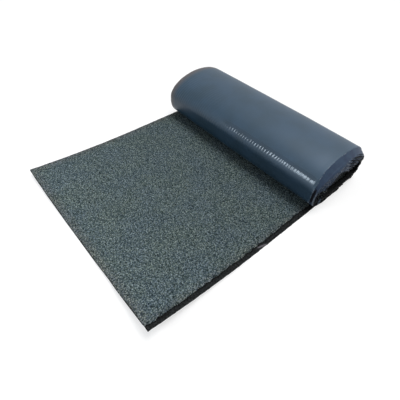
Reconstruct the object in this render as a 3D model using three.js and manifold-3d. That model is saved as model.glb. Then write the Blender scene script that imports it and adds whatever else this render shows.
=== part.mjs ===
// Roll of mineral-surfaced roofing felt, partly unrolled. Millimetres, +Z up.
//
// The object is one sheet of bitumen felt. Its first metre lies flat with the mineral granules up, and the
// rest is wound into a loose roll that has slumped into a low oval. A strip along one long edge, the
// selvedge, has no granules, so it is thinner there. X runs from the sheet's free end to the roll, and Y
// across the sheet from the selvedge to the far edge. The origin is on the floor, under the middle of the
// bounding box.

import * as THREE from "three";
import { mergeVertices } from "three/addons/utils/BufferGeometryUtils.js";
import Module from "manifold-3d";

// The sheet
const SHEET_WIDTH = 1000;
const FELT_THICKNESS = 3.7;
const GRANULE_DEPTH = 1.1;
const SELVEDGE_WIDTH = 28;

// The stretch that lies flat, and its free end, whose corners curl up
const TAIL_LENGTH = 1040;
const CURL_LENGTH = 600;
const FAR_CORNER_LIFT = 30;
const NEAR_CORNER_LIFT = 62;

// The slumped roll: an ellipse above the belly and a flatter superellipse below it
const ROLL_WIDTH = 397;
const ROLL_HEIGHT = 222;
const BELLY_HEIGHT = 112;
const BASE_FLATNESS = 3.6;
const TURNS = 10;
const AIR_GAP = 0.7;

// The inner turns have slid along the roll, and its thin selvedge end has settled
const TELESCOPE = 10;
const END_SAG = 20;
const END_SQUEEZE = 18;
const RESTING_HEIGHT = 8;

// How finely the curved forms are cut
const STATIONS_PER_TURN = 44;
const TAIL_STEPS = 20;
const WIDTH_STEPS = 12;

// The straight stretch that the wound and the flat sheet share
const JOIN_LEAD = 20;
const LEAD_STEPS = 2;

const PITCH = FELT_THICKNESS + AIR_GAP;
const SELVEDGE_THICKNESS = FELT_THICKNESS - GRANULE_DEPTH;
const HALF_ROLL = ROLL_WIDTH / 2;
const FULL_TURN = 2 * Math.PI;
const QUARTER = FULL_TURN / 4;
// A point's place in its turn is only known to within this share of a turn.
const ROUNDING = 0.1;
const ROLL_STEPS = LEAD_STEPS + Math.round(TURNS * STATIONS_PER_TURN);

const wasm = await Module();
wasm.setup();

function toSolid(geometry) {
  const bare = geometry.clone();
  bare.deleteAttribute("normal");
  bare.deleteAttribute("uv");
  const merged = mergeVertices(bare, 1e-3);
  const mesh = new wasm.Mesh({
    numProp: 3,
    vertProperties: merged.attributes.position.array,
    triVerts: new Uint32Array(merged.index.array),
  });
  return new wasm.Manifold(mesh);
}

function toGeometry(solid) {
  const mesh = solid.getMesh();
  const geometry = new THREE.BufferGeometry();
  geometry.setAttribute("position", new THREE.BufferAttribute(mesh.vertProperties, 3));
  geometry.setIndex(new THREE.BufferAttribute(mesh.triVerts, 1));
  geometry.computeVertexNormals();
  return geometry;
}

// Moves every vertex of a geometry by a function that changes the point it is given.
function bend(geometry, change) {
  const position = geometry.attributes.position;
  const point = new THREE.Vector3();
  for (let i = 0; i < position.count; i += 1) {
    change(point.fromBufferAttribute(position, i));
    position.setXYZ(i, point.x, point.y, point.z);
  }
  return geometry;
}

// The rise from the belly to the roll's top, or the drop from it to the floor.
function reach(isAbove) {
  return isAbove ? ROLL_HEIGHT - BELLY_HEIGHT : BELLY_HEIGHT;
}

// A point of the roll's oval section, inset from its outer face. Its x is measured from the roll's middle.
function ovalPoint(angle, inset) {
  const isAbove = Math.sin(angle) >= 0;
  const power = isAbove ? 1 : 2 / BASE_FLATNESS;
  const across = Math.sign(Math.cos(angle)) * Math.abs(Math.cos(angle)) ** power;
  const upward = Math.sign(Math.sin(angle)) * Math.abs(Math.sin(angle)) ** power;
  return new THREE.Vector2(
    across * (HALF_ROLL - inset),
    BELLY_HEIGHT + upward * (reach(isAbove) - inset),
  );
}

// How many turns into the roll the sheet is at a point of the section: the inverse of the spiral.
function turnsAt(x, z) {
  const isAbove = z >= BELLY_HEIGHT;
  const power = isAbove ? 2 : BASE_FLATNESS;
  const term = (offset, half, inset) => (Math.abs(offset) / (half - inset)) ** power;
  let low = 0;
  let high = Math.min(HALF_ROLL, reach(isAbove)) - 1;
  while (high - low > 1e-4) {
    const inset = (low + high) / 2;
    const sum = term(x, HALF_ROLL, inset) + term(z - BELLY_HEIGHT, reach(isAbove), inset);
    if (sum > 1) high = inset;
    else low = inset;
  }
  const across = Math.sign(x) * Math.sqrt(term(x, HALF_ROLL, low));
  const upward = Math.sign(z - BELLY_HEIGHT) * Math.sqrt(term(z - BELLY_HEIGHT, reach(isAbove), low));
  const angle = THREE.MathUtils.euclideanModulo(Math.atan2(upward, across) + QUARTER, FULL_TURN);
  const share = angle / FULL_TURN;
  const wholeTurns = Math.floor(low / PITCH - share + ROUNDING);
  return Math.max(0, wholeTurns + share);
}

// The line that the sheet's underside follows round the roll, after a short straight lead-in on the floor.
// Its stations are equally spaced in angle, so that the facets of all turns lie in line.
class SpiralPath extends THREE.Curve {
  getPoint(share, target = new THREE.Vector3()) {
    const station = share * ROLL_STEPS - LEAD_STEPS;
    if (station <= 0) return target.set((JOIN_LEAD * station) / LEAD_STEPS, 0, 0);
    const turns = station / STATIONS_PER_TURN;
    const { x, y: z } = ovalPoint(turns * FULL_TURN - QUARTER, turns * PITCH);
    return target.set(x, 0, z);
  }

  getUtoTmapping(share) {
    return share;
  }
}

// The sheet's cross-section, with the selvedge step. A path in the XZ plane turns its X into depth below the
// path and its Y into the place across the sheet.
function sheetSection(widthSteps) {
  const underside = [new THREE.Vector2(0, 0)];
  const topside = [
    new THREE.Vector2(-SELVEDGE_THICKNESS, 0),
    new THREE.Vector2(-SELVEDGE_THICKNESS, SELVEDGE_WIDTH),
  ];
  for (let i = 0; i <= widthSteps; i += 1) {
    const y = THREE.MathUtils.lerp(SELVEDGE_WIDTH, SHEET_WIDTH, i / widthSteps);
    underside.push(new THREE.Vector2(0, y));
    topside.push(new THREE.Vector2(-FELT_THICKNESS, y));
  }
  return new THREE.Shape([...underside, ...topside.reverse()]);
}

function sweep(section, path, steps) {
  return new THREE.ExtrudeGeometry(section, { extrudePath: path, steps });
}

// Slides each turn along the roll by how deep in the roll it lies.
function telescope(point) {
  point.y -= (TELESCOPE * turnsAt(point.x, point.z)) / TURNS;
}

// Lets the granule-free end of the roll settle: its top drops and its sides draw in.
function settle(point) {
  const height = (point.z - RESTING_HEIGHT) / (ROLL_HEIGHT - RESTING_HEIGHT);
  const share = THREE.MathUtils.clamp(height, 0, 1);
  point.x *= 1 - (END_SQUEEZE * share) / HALF_ROLL;
  point.z -= END_SAG * share;
}

function woundSheet() {
  return bend(sweep(sheetSection(1), new SpiralPath(), ROLL_STEPS), (point) => {
    const isRim = point.y < SELVEDGE_WIDTH / 2;
    telescope(point);
    if (isRim) settle(point);
  });
}

// Lifts the free end's corners, most at the selvedge corner, and leaves its middle on the floor.
function curl(point) {
  const side = (point.y - SHEET_WIDTH / 2) / (SHEET_WIDTH / 2);
  const lift = side > 0 ? FAR_CORNER_LIFT : NEAR_CORNER_LIFT;
  const along = Math.max(0, 1 - (point.x + TAIL_LENGTH) / CURL_LENGTH);
  point.z += lift * side ** 2 * along ** 2;
}

function flatSheet() {
  const freeEnd = new THREE.Vector3(-TAIL_LENGTH, 0, 0);
  const path = new THREE.LineCurve3(freeEnd, new THREE.Vector3(-JOIN_LEAD / 2, 0, 0));
  return bend(sweep(sheetSection(WIDTH_STEPS), path, TAIL_STEPS), curl);
}

function feltRoll() {
  const material = new THREE.MeshStandardMaterial({ color: "#4a5a60", roughness: 0.85, metalness: 0 });
  const mesh = new THREE.Mesh(toGeometry(toSolid(woundSheet()).add(toSolid(flatSheet()))), material);
  mesh.name = "felt_roll";
  mesh.position.x = (TAIL_LENGTH - HALF_ROLL + PITCH / 4) / 2;
  mesh.position.y = -(SHEET_WIDTH - TELESCOPE) / 2;
  return mesh;
}

const roll = new THREE.Group();
roll.add(feltRoll());

export default roll;
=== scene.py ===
# %% [markdown]
# # A partly unrolled roll of roofing felt
#
# Roofing felt is a sheet of polyester fleece soaked in bitumen. Its weather face is covered in crushed
# slate, and its underside in a thin polyethylene film that keeps the turns from sticking together. This
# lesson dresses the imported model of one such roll. The model gives the sheet's place and size. Here the
# sheet is made again with many more faces, so that the cut edges, the ripples of the film and the crumpled
# end can be seen.

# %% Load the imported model
import math

import bpy
import numpy as np
from mathutils import Matrix, Vector


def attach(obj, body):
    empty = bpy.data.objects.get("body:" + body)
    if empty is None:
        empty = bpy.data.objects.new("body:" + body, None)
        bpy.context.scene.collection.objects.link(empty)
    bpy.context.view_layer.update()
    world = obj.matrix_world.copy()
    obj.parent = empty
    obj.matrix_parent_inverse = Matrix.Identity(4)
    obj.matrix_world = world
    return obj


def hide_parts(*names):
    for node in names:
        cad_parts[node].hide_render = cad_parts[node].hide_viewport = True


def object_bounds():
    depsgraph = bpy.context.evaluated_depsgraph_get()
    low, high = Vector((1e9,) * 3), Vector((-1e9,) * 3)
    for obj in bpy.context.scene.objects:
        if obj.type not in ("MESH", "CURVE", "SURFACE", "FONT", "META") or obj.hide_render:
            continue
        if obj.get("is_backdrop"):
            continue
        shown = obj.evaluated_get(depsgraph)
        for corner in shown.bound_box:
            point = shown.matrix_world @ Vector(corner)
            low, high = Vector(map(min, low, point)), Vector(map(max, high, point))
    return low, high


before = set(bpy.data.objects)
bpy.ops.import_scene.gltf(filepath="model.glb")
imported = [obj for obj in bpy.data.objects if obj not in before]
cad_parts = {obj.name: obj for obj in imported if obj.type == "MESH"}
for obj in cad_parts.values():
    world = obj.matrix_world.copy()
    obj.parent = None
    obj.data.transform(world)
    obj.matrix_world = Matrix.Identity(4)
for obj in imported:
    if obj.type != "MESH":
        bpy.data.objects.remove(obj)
cad_low, cad_high = (list(corner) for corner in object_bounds())
print("nodes:", list(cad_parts), "box in metres:", cad_low, cad_high)

# %% [markdown]
# ## Sizes of the sheet
#
# The sheet is 1 m wide and 3.7 mm thick. A strip along one long edge, the selvedge, has no slate, because
# the next sheet laps over it. The sheet lies flat from its free end to the middle of the roll, and winds up
# from there. Blender works in metres, so each size is written in millimetres, times MM. They are the packed
# model's own sizes, and only the roll's place is read from it, so the new sheet lies where the model's
# does.

# %% Name the sizes
MM = 0.001
FELT_THICKNESS = 3.7 * MM
GRANULE_DEPTH = 1.1 * MM
SELVEDGE_THICKNESS = FELT_THICKNESS - GRANULE_DEPTH
SHEET_WIDTH = 1000 * MM
SELVEDGE_WIDTH = 28 * MM
TAIL_LENGTH = 1040 * MM
CURL_LENGTH = 600 * MM
FAR_CORNER_LIFT = 30 * MM
NEAR_CORNER_LIFT = 62 * MM

ROLL_WIDTH = 397 * MM
HALF_ROLL = ROLL_WIDTH / 2
ROLL_HEIGHT = 222 * MM
BELLY_HEIGHT = 112 * MM
BASE_FLATNESS = 3.6
TURNS = 10.0
AIR_GAP = 0.7 * MM
PITCH = FELT_THICKNESS + AIR_GAP
TELESCOPE = 10 * MM
END_SAG = 20 * MM
END_SQUEEZE = 18 * MM
RESTING_HEIGHT = 8 * MM

ROLL_MIDDLE = cad_high[0] - (HALF_ROLL - PITCH / 4)
NEAR_EDGE = cad_high[1] - SHEET_WIDTH
print(f"roll's middle at x = {ROLL_MIDDLE:.4f}, sheet's near edge at y = {NEAR_EDGE:.4f}")

# %% [markdown]
# ## The roll's section
#
# Loose felt slumps under its own weight. Above the belly, its widest height, the section is half an
# ellipse. Below it the felt lies on itself, so a superellipse with a flatter base fits better. Each turn is
# the same oval, set in by the felt's thickness and a little air. The section could be drawn by hand as a
# Bezier curve, but a formula gives the place and the slope at any point of any turn. Its angles start at
# the back of the roll, and the spiral starts a quarter turn before that, underneath.

# %% Follow the spiral
QUARTER = 0.25
SMALL_STEP = 1e-4


def angle_at(turns):
    """The section's angle, in radians, at this number of turns into the roll."""
    return 2 * np.pi * (turns - QUARTER)


def oval_point(angle, inset):
    """X from the roll's middle and Z of a point of the section, inset from the roll's outer face."""
    above = np.sin(angle) >= 0
    power = np.where(above, 1.0, 2 / BASE_FLATNESS)
    reach = np.where(above, ROLL_HEIGHT - BELLY_HEIGHT, BELLY_HEIGHT)
    across = np.sign(np.cos(angle)) * np.abs(np.cos(angle)) ** power
    upward = np.sign(np.sin(angle)) * np.abs(np.sin(angle)) ** power
    return across * (HALF_ROLL - inset), BELLY_HEIGHT + upward * (reach - inset)


def spiral_line(turns):
    """The underside's X and Z, and its inward normal, at each of these numbers of turns into the roll."""
    x, z = oval_point(angle_at(turns), turns * PITCH)
    ahead = oval_point(angle_at(turns + SMALL_STEP), (turns + SMALL_STEP) * PITCH)
    behind = oval_point(angle_at(turns - SMALL_STEP), (turns - SMALL_STEP) * PITCH)
    along = np.stack([ahead[0] - behind[0], ahead[1] - behind[1]], axis=-1)
    along /= np.linalg.norm(along, axis=-1, keepdims=True)
    return x, z, np.stack([-along[:, 1], along[:, 0]], axis=-1)


def arc_length(turns):
    """How far along the sheet each station lies, from the first one."""
    x, z, _ = spiral_line(turns)
    return np.concatenate([[0], np.cumsum(np.hypot(np.diff(x), np.diff(z)))])


wound = arc_length(np.linspace(0, TURNS, 8000))[-1]
print(f"{wound:.2f} m is wound up, and {TAIL_LENGTH + wound:.2f} m is the whole sheet")

# %% [markdown]
# ## Noise
#
# Real edges and films are never even. Blender's Displace modifier could move the points by a noise texture,
# but these waves have to follow the sheet round the roll. A small lattice noise, made with numpy, gives
# smooth random waves of any length along the sheet and across it. The last number in each call is its seed.
# Any number would do, and a fixed one gives the same waves at every run.

# %% Make smooth noise
LATTICE = 256


def waves(u, v, seed):
    """Smooth noise from -1 to 1 at each pair of u and v, with one random value at each whole number."""
    table = np.random.default_rng(seed).uniform(-1, 1, (LATTICE, LATTICE))
    u0, v0 = np.floor(u).astype(int), np.floor(v).astype(int)
    fu, fv = u - u0, v - v0
    fu, fv = fu * fu * (3 - 2 * fu), fv * fv * (3 - 2 * fv)

    def corner(i, j):
        return table[(u0 + i) % LATTICE, (v0 + j) % LATTICE]

    low = corner(0, 0) * (1 - fu) + corner(1, 0) * fu
    high = corner(0, 1) * (1 - fu) + corner(1, 1) * fu
    return low * (1 - fv) + high * fv


def line_waves(distance, spacing, seed):
    """Smooth noise from -1 to 1 along a line, with one random value at each spacing."""
    return waves(distance / spacing, distance * 0, seed)


def bell(distance, width):
    """One at no distance, falling smoothly to nothing over about twice the width."""
    return np.exp(-((distance / width) ** 2))


def smooth_step(value):
    """From 0 to 1 as the value goes from 0 to 1, with no corner at either end."""
    value = np.clip(value, 0, 1)
    return value * value * (3 - 2 * value)


print("a bell is down to", round(float(bell(1.0, 1.0)), 2), "one width away from its middle")

# %% [markdown]
# ## A sheet from rings of points
#
# A sheet could be a flat grid with a Solidify modifier, but this one has a step in its thickness and three
# finishes. So it is made as rings of points, one ring around the sheet's cross-section at each station
# along it. Rings are joined by quads, and the first and last ring are closed by a face, so the mesh is one
# closed body. Each ring runs out over the underside and back over the top. The distances along and across
# the sheet go into a UV map in metres, and each face is told which finish it has. A value called through is
# kept at each point: 0 on the underside, and 1 on the top.

# %% Build a sheet from rings
FILM_SLOT, WEATHER_SLOT, EDGE_SLOT = range(3)
SHARP_ANGLE = math.radians(50)


def keep_at_points(mesh, name, values):
    """Keeps a value at each point of a mesh, for a finish to read."""
    mesh.attributes.new(name, "FLOAT", "POINT")
    mesh.attributes[name].data.foreach_set("value", values.ravel().astype(np.float32))


def map_sheet(mesh, along, across):
    """Writes how far along and across the sheet each point lies into a UV map."""
    uv = np.stack(np.broadcast_arrays(along[:, None], across[None, :]), axis=-1).reshape(-1, 2)
    corners = np.empty(len(mesh.loops), dtype=np.int32)
    mesh.loops.foreach_get("vertex_index", corners)
    mesh.uv_layers.new(name="sheet").data.foreach_set("uv", uv[corners].ravel().astype(np.float32))


def sheet_mesh(name, rings, along, across, finishes, materials, on_top=0.0):
    """A closed piece from rings (station, place in ring, 3), with one finish for each edge of a ring."""
    stations, size = rings.shape[:2]
    index = np.arange(stations * size).reshape(stations, size)
    nxt = np.roll(index, -1, axis=1)
    quads = np.stack([index[:-1], nxt[:-1], nxt[1:], index[1:]], axis=-1).reshape(-1, 4)
    faces = [*quads.tolist(), index[0][::-1].tolist(), index[-1].tolist()]
    mesh = bpy.data.meshes.new(name)
    mesh.from_pydata(rings.reshape(-1, 3).tolist(), [], faces)
    for material in materials:
        mesh.materials.append(material)
    slots = np.concatenate([np.tile(finishes, stations - 1), [EDGE_SLOT, EDGE_SLOT]])
    mesh.polygons.foreach_set("material_index", slots.astype(np.int32))
    mesh.polygons.foreach_set("use_smooth", np.ones(len(faces), dtype=bool))
    map_sheet(mesh, along, across)
    keep_at_points(mesh, "through", np.broadcast_to(on_top, (stations, size)))
    mesh.set_sharp_from_angle(angle=SHARP_ANGLE)
    mesh.update()
    piece = bpy.data.objects.new(name, mesh)
    bpy.context.scene.collection.objects.link(piece)
    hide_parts("felt_roll")
    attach(piece, "root")
    print(f"{name}: {2 * len(quads) + 2 * (size - 2)} triangles")
    return piece


print("finish slots: film", FILM_SLOT, "weather face", WEATHER_SLOT, "cut edge", EDGE_SLOT)

# %% [markdown]
# ## One ring of the sheet
#
# Every piece of the sheet uses the same ring: the underside from the selvedge edge to the far edge, then
# the top face back again. Only how closely the points stand differs. Beside the slate the top steps down to
# the selvedge, and that step is kept nearly upright by two points close together.

# %% Lay out a ring
STRIP_POINTS = 8
STEP_WIDTH = 0.1 * MM


def ring_layout(under_gap, top_gap):
    """The place across the sheet of each point of a ring, which are on top, and the finish after each."""
    def spaced(gap):
        strip = np.linspace(0, SELVEDGE_WIDTH, STRIP_POINTS)
        return np.concatenate([strip, np.arange(SELVEDGE_WIDTH, SHEET_WIDTH, gap)[1:-1], [SHEET_WIDTH]])

    under, top = spaced(under_gap), spaced(top_gap)
    top = np.insert(top, STRIP_POINTS - 1, SELVEDGE_WIDTH - STEP_WIDTH)[::-1]
    across = np.concatenate([under, top])
    on_top = np.arange(len(across)) >= len(under)
    finish = np.where(on_top, WEATHER_SLOT, FILM_SLOT)
    finish[[len(under) - 1, -1]] = EDGE_SLOT
    return across, on_top, finish


def ring_heights(across, on_top):
    """Height above the underside at each point of a ring, before any roughness."""
    has_slate = across > SELVEDGE_WIDTH - STEP_WIDTH / 2
    thickness = np.where(has_slate, FELT_THICKNESS, SELVEDGE_THICKNESS)
    return np.where(on_top, thickness, 0.0)


COARSE_GAP = 200 * MM
print("a coarse ring has", len(ring_layout(COARSE_GAP, COARSE_GAP)[0]), "points")

# %% [markdown]
# ## The flat stretch
#
# The sheet remembers being wound with the slate inside, so the corners of its free end curl up, most at the
# selvedge corner. The slate is scattered on hot bitumen and pressed in by a drum, so the step to the
# selvedge wanders, and some slate is spilt over it. The free end was cut by hand with a hooked knife. To
# model every grain would take millions of faces. So the top face has a point every 3.4 mm, each raised or
# lowered a little, which gives the slate real relief, and the finish adds the grains in between.

# %% Shape the free end
def corner_curl(along, across):
    """How high the corners of the free end curl up."""
    side = (across - SHEET_WIDTH / 2) / (SHEET_WIDTH / 2)
    lift = np.where(side > 0, FAR_CORNER_LIFT, NEAR_CORNER_LIFT)
    return lift * side**2 * np.clip(1 - (along + TAIL_LENGTH) / CURL_LENGTH, 0, None) ** 2


def knife_cut(across):
    """How far inwards the cut strays: short hooks on a long bow, and further out beside the selvedge."""
    hooks = 0.9 * MM * waves(across * 0, across / (6 * MM), 8)
    bow = 1.6 * MM * waves(across * 0, across / (90 * MM), 10)
    past_step = across - SELVEDGE_WIDTH
    spared = 1.4 * MM * np.clip(past_step / (4 * MM), 0, 1) * bell(past_step, 60 * MM)
    return hooks - bow + 1.7 * MM - spared


corners = corner_curl(-TAIL_LENGTH, np.array([0, SHEET_WIDTH])) / MM
print("the corners curl up by", corners.round(), "mm")

# %% [markdown]
# Each raised point of the slate gets a random height from a fixed seed, and broader clumps 9 mm across come
# from the noise. The straying of the step and of the long rims fades out within a few millimetres, and that
# of the cut within 25.

# %% Lay the flat stretch
SLATE_SPILL = 5.5 * MM
SLATE_GAP = 3.4 * MM
UNDERSIDE_GAP = 60 * MM
LAID_STATIONS = 306
GRAIN_HEIGHT = 0.24 * MM
CLUMP_HEIGHT = 0.3 * MM
CLUMP_SIZE = 9 * MM


def laid_sheet(materials):
    across, on_top, finish = ring_layout(UNDERSIDE_GAP, SLATE_GAP)
    along = np.linspace(-TAIL_LENGTH, 0, LAID_STATIONS)
    grid_a, grid_y = np.meshgrid(along, across, indexing="ij")
    slate = on_top & (across > SELVEDGE_WIDTH - SLATE_SPILL)
    grains = np.random.default_rng(4).normal(0, GRAIN_HEIGHT, grid_a.shape)
    clumps = CLUMP_HEIGHT * waves(grid_a / CLUMP_SIZE, grid_y / CLUMP_SIZE, 5)
    relief = np.where(slate[None, :], grains + clumps, 0)
    height = ring_heights(across, on_top)[None, :] + corner_curl(grid_a, grid_y) + relief
    ragged = 1.3 * MM * line_waves(grid_a, 7 * MM, 6) + 0.6 * MM * line_waves(grid_a, 2.5 * MM, 7)
    at_step = bell(grid_y - SELVEDGE_WIDTH, 3 * MM) * on_top[None, :]
    at_rims = bell(grid_y, 4 * MM) + bell(grid_y - SHEET_WIDTH, 4 * MM)
    at_cut = bell(grid_a + TAIL_LENGTH, 12 * MM)
    x = ROLL_MIDDLE + grid_a + at_cut * knife_cut(grid_y)
    y = NEAR_EDGE + grid_y + at_step * ragged + 0.7 * MM * line_waves(grid_a, 11 * MM, 9) * at_rims
    points = np.stack([x, y, height], axis=-1)
    return sheet_mesh("laid_sheet", points, along, across, finish, materials, on_top)


print(f"the flat stretch has a ring every {TAIL_LENGTH / (LAID_STATIONS - 1) / MM:.1f} mm")

# %% [markdown]
# ## The wound turns
#
# The inner turns have slid a little along the roll towards the selvedge, each by a millimetre more than the
# one outside it, so the end of the roll is a very shallow cone of edges. The selvedge has no slate to hold
# its turns apart, so that end settles: its last 25 mm drop and draw in, and the top droops gently over 110
# mm. Away from there the slack roll swells by a few millimetres, most just past the middle of its length. A
# Screw modifier could wind up a plain spiral, but then each point would have to be found again to move it.
# Here every point knows its turn and its place across the sheet, so it is moved as it is made.

# %% Let the roll settle
MIDDLE_SWELL = 2.5 * MM
FAR_SWELL = 2 * MM
DROOP = 5 * MM
DROOP_WIDTH = 110 * MM
SETTLED_WIDTH = 25 * MM


def settle(x, z, y):
    """Lowers and narrows the roll's selvedge end. It gives way most at its rim, where y is nothing."""
    raised = np.clip((z - RESTING_HEIGHT) / (ROLL_HEIGHT - RESTING_HEIGHT), 0, 1)
    share = np.clip(1 - y / SETTLED_WIDTH, 0, 1) * raised
    droop = DROOP * np.clip(1 - y / DROOP_WIDTH, 0, 1) ** 2 * raised
    return x * (1 - share * END_SQUEEZE / HALF_ROLL), z - share * (END_SAG - DROOP) - droop


def wound_points(turns, across, height):
    """Points of the wound sheet, for places across it and heights above its underside at each station."""
    x, z, inward = spiral_line(turns)
    x = x[:, None] + inward[:, :1] * height
    z = z[:, None] + inward[:, 1:] * height
    place = across / SHEET_WIDTH
    swell = 1 + (MIDDLE_SWELL * (1 - (2 * place - 1) ** 2) + FAR_SWELL * place**2) / HALF_ROLL
    x, z = settle(x * swell, z * swell, across)
    y = NEAR_EDGE + across - TELESCOPE * turns[:, None] / TURNS
    return np.stack([ROLL_MIDDLE + x, y + 0 * x, z], axis=-1)


def wandering_rims(rings, along, across, seed, size):
    """Lets the sheet's two long edges stray along the roll, in long and short waves."""
    stray = size * (line_waves(along, 30 * MM, seed) + 0.4 * line_waves(along, 6 * MM, seed + 1))
    at_rim = bell(across, 5 * MM) + bell(SHEET_WIDTH - across, 5 * MM)
    rings[..., 1] += stray[:, None] * at_rim[None, :]
    return rings


top = wound_points(np.array([0.5]), np.array([[0.0, SHEET_WIDTH / 2]]), 0.0)[0, :, 2] / MM
print("the top is", top.round(), "mm high, at the selvedge end and in the middle")

# %% [markdown]
# The inner turns show only on the roll's two ends, so they have few points across the sheet, and 90 rings
# in a turn. Their distance along the sheet goes on from the outer turn's, which is about 1 m, so that the
# pattern of the finish does too.

# %% Wind the inner turns
STATIONS_PER_TURN = 90
INNER_GAP = 330 * MM
OUTER_TURN_ABOUT = 1.0


def inner_turns(materials):
    across, on_top, finish = ring_layout(INNER_GAP, INNER_GAP)
    turns = np.linspace(1.0, TURNS, int((TURNS - 1) * STATIONS_PER_TURN))
    along = OUTER_TURN_ABOUT + arc_length(turns)
    rings = wound_points(turns, across[None, :], ring_heights(across, on_top)[None, :])
    rings = wandering_rims(rings, along, across, 12, 1.4 * MM)
    return sheet_mesh("inner_turns", rings, along, across, finish, materials, on_top)


print("the inner turns take", int((TURNS - 1) * STATIONS_PER_TURN), "rings")

# %% [markdown]
# ## The outer turn and its film
#
# The film is stretched round the outside of the roll. Along the roll's front, where the felt bends most
# sharply, the film gathers into fine ripples that run round the roll, 15 mm apart. A bump texture could
# draw them, but the highlight there is what shows the film, so they are real waves in this mesh. They grow
# along the roll from the selvedge end, where the film is smooth and mirrors the lamp as one bright bar.
# Further along only their steeper sides catch it, so there the highlight is a row of short strokes. Towards
# the far end there are gentler ones higher up the roll too. At the far end the sheet's edge rolls inwards a
# little.

# %% Ripple the film
RIPPLE_GAP = 15 * MM
RIPPLE_HEIGHT = 0.6 * MM
RIPPLED_TURNS = 0.675
RIPPLED_BELT = 0.04
BROAD_HEIGHT = 0.9 * MM


def within_turn(turns):
    """One along the outer turn, and fading to nothing over a twentieth of a turn at either end."""
    return np.clip(np.minimum(turns, 1 - turns) / 0.05, 0, 1)


def film_ripples(turns, along, across):
    """How far the film stands out from the felt, in waves that run round the roll."""
    drift = waves(along / (130 * MM), across / (80 * MM), 21)
    phase = (across - 0.15 * along) / RIPPLE_GAP * 2 * np.pi + 5.0 * drift
    patchy = np.clip(0.75 + 0.6 * waves(along / (110 * MM), across / (75 * MM), 22), 0.3, 1.1)
    higher_up = 0.3 * bell(turns - 0.6, 0.06) * smooth_step((across - 550 * MM) / (120 * MM))
    growing = np.clip(0.25 + 0.75 * (across - 50 * MM) / (330 * MM), 0.25, 1)
    lower = 0.022 * smooth_step((across - 100 * MM) / (300 * MM))
    along_front = 0.02 + 0.98 * bell(turns - RIPPLED_TURNS - lower, RIPPLED_BELT)
    strength = patchy * growing * along_front + higher_up
    fine = 0.25 * waves(across / (5 * MM), along / (70 * MM), 23)
    broad = BROAD_HEIGHT * waves(across / (170 * MM), along / (240 * MM), 24)
    inside = within_turn(turns) * np.clip((across - 15 * MM) / (40 * MM), 0, 1)
    return (RIPPLE_HEIGHT * strength * (np.sin(phase) + fine) + broad) * inside


print("about", round(SHEET_WIDTH / RIPPLE_GAP), "ripples fit along the roll")

# %% [markdown]
# The outer turn has a point every 2.5 mm across the sheet, six to a ripple, because the highlight would
# show any facets. Its other face is hidden inside the roll, so that one has few.

# %% Wrap the outer turn
FILM_GAP = 2.5 * MM
OUTER_STATIONS = 150
FAR_ROLL = 2.5 * MM
FAR_ROLL_WIDTH = 7 * MM


def outer_turn(materials):
    across, on_top, finish = ring_layout(FILM_GAP, COARSE_GAP)
    turns = np.linspace(0, 1.0, OUTER_STATIONS)
    along = arc_length(turns)
    grid_t, grid_y = np.meshgrid(turns, across, indexing="ij")
    ripples = film_ripples(grid_t, along[:, None] + 0 * grid_y, grid_y)
    rolled_in = FAR_ROLL * bell(SHEET_WIDTH - grid_y, FAR_ROLL_WIDTH) * within_turn(grid_t)
    height = ring_heights(across, on_top)[None, :] + np.where(on_top[None, :], 0, -ripples) + rolled_in
    rings = wandering_rims(wound_points(turns, grid_y, height), along, across, 25, 1.2 * MM)
    return sheet_mesh("outer_turn", rings, along, across, finish, materials, on_top)


print(f"the outer turn takes {arc_length(np.linspace(0, 1.0, OUTER_STATIONS))[-1]:.3f} m of the sheet")
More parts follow.
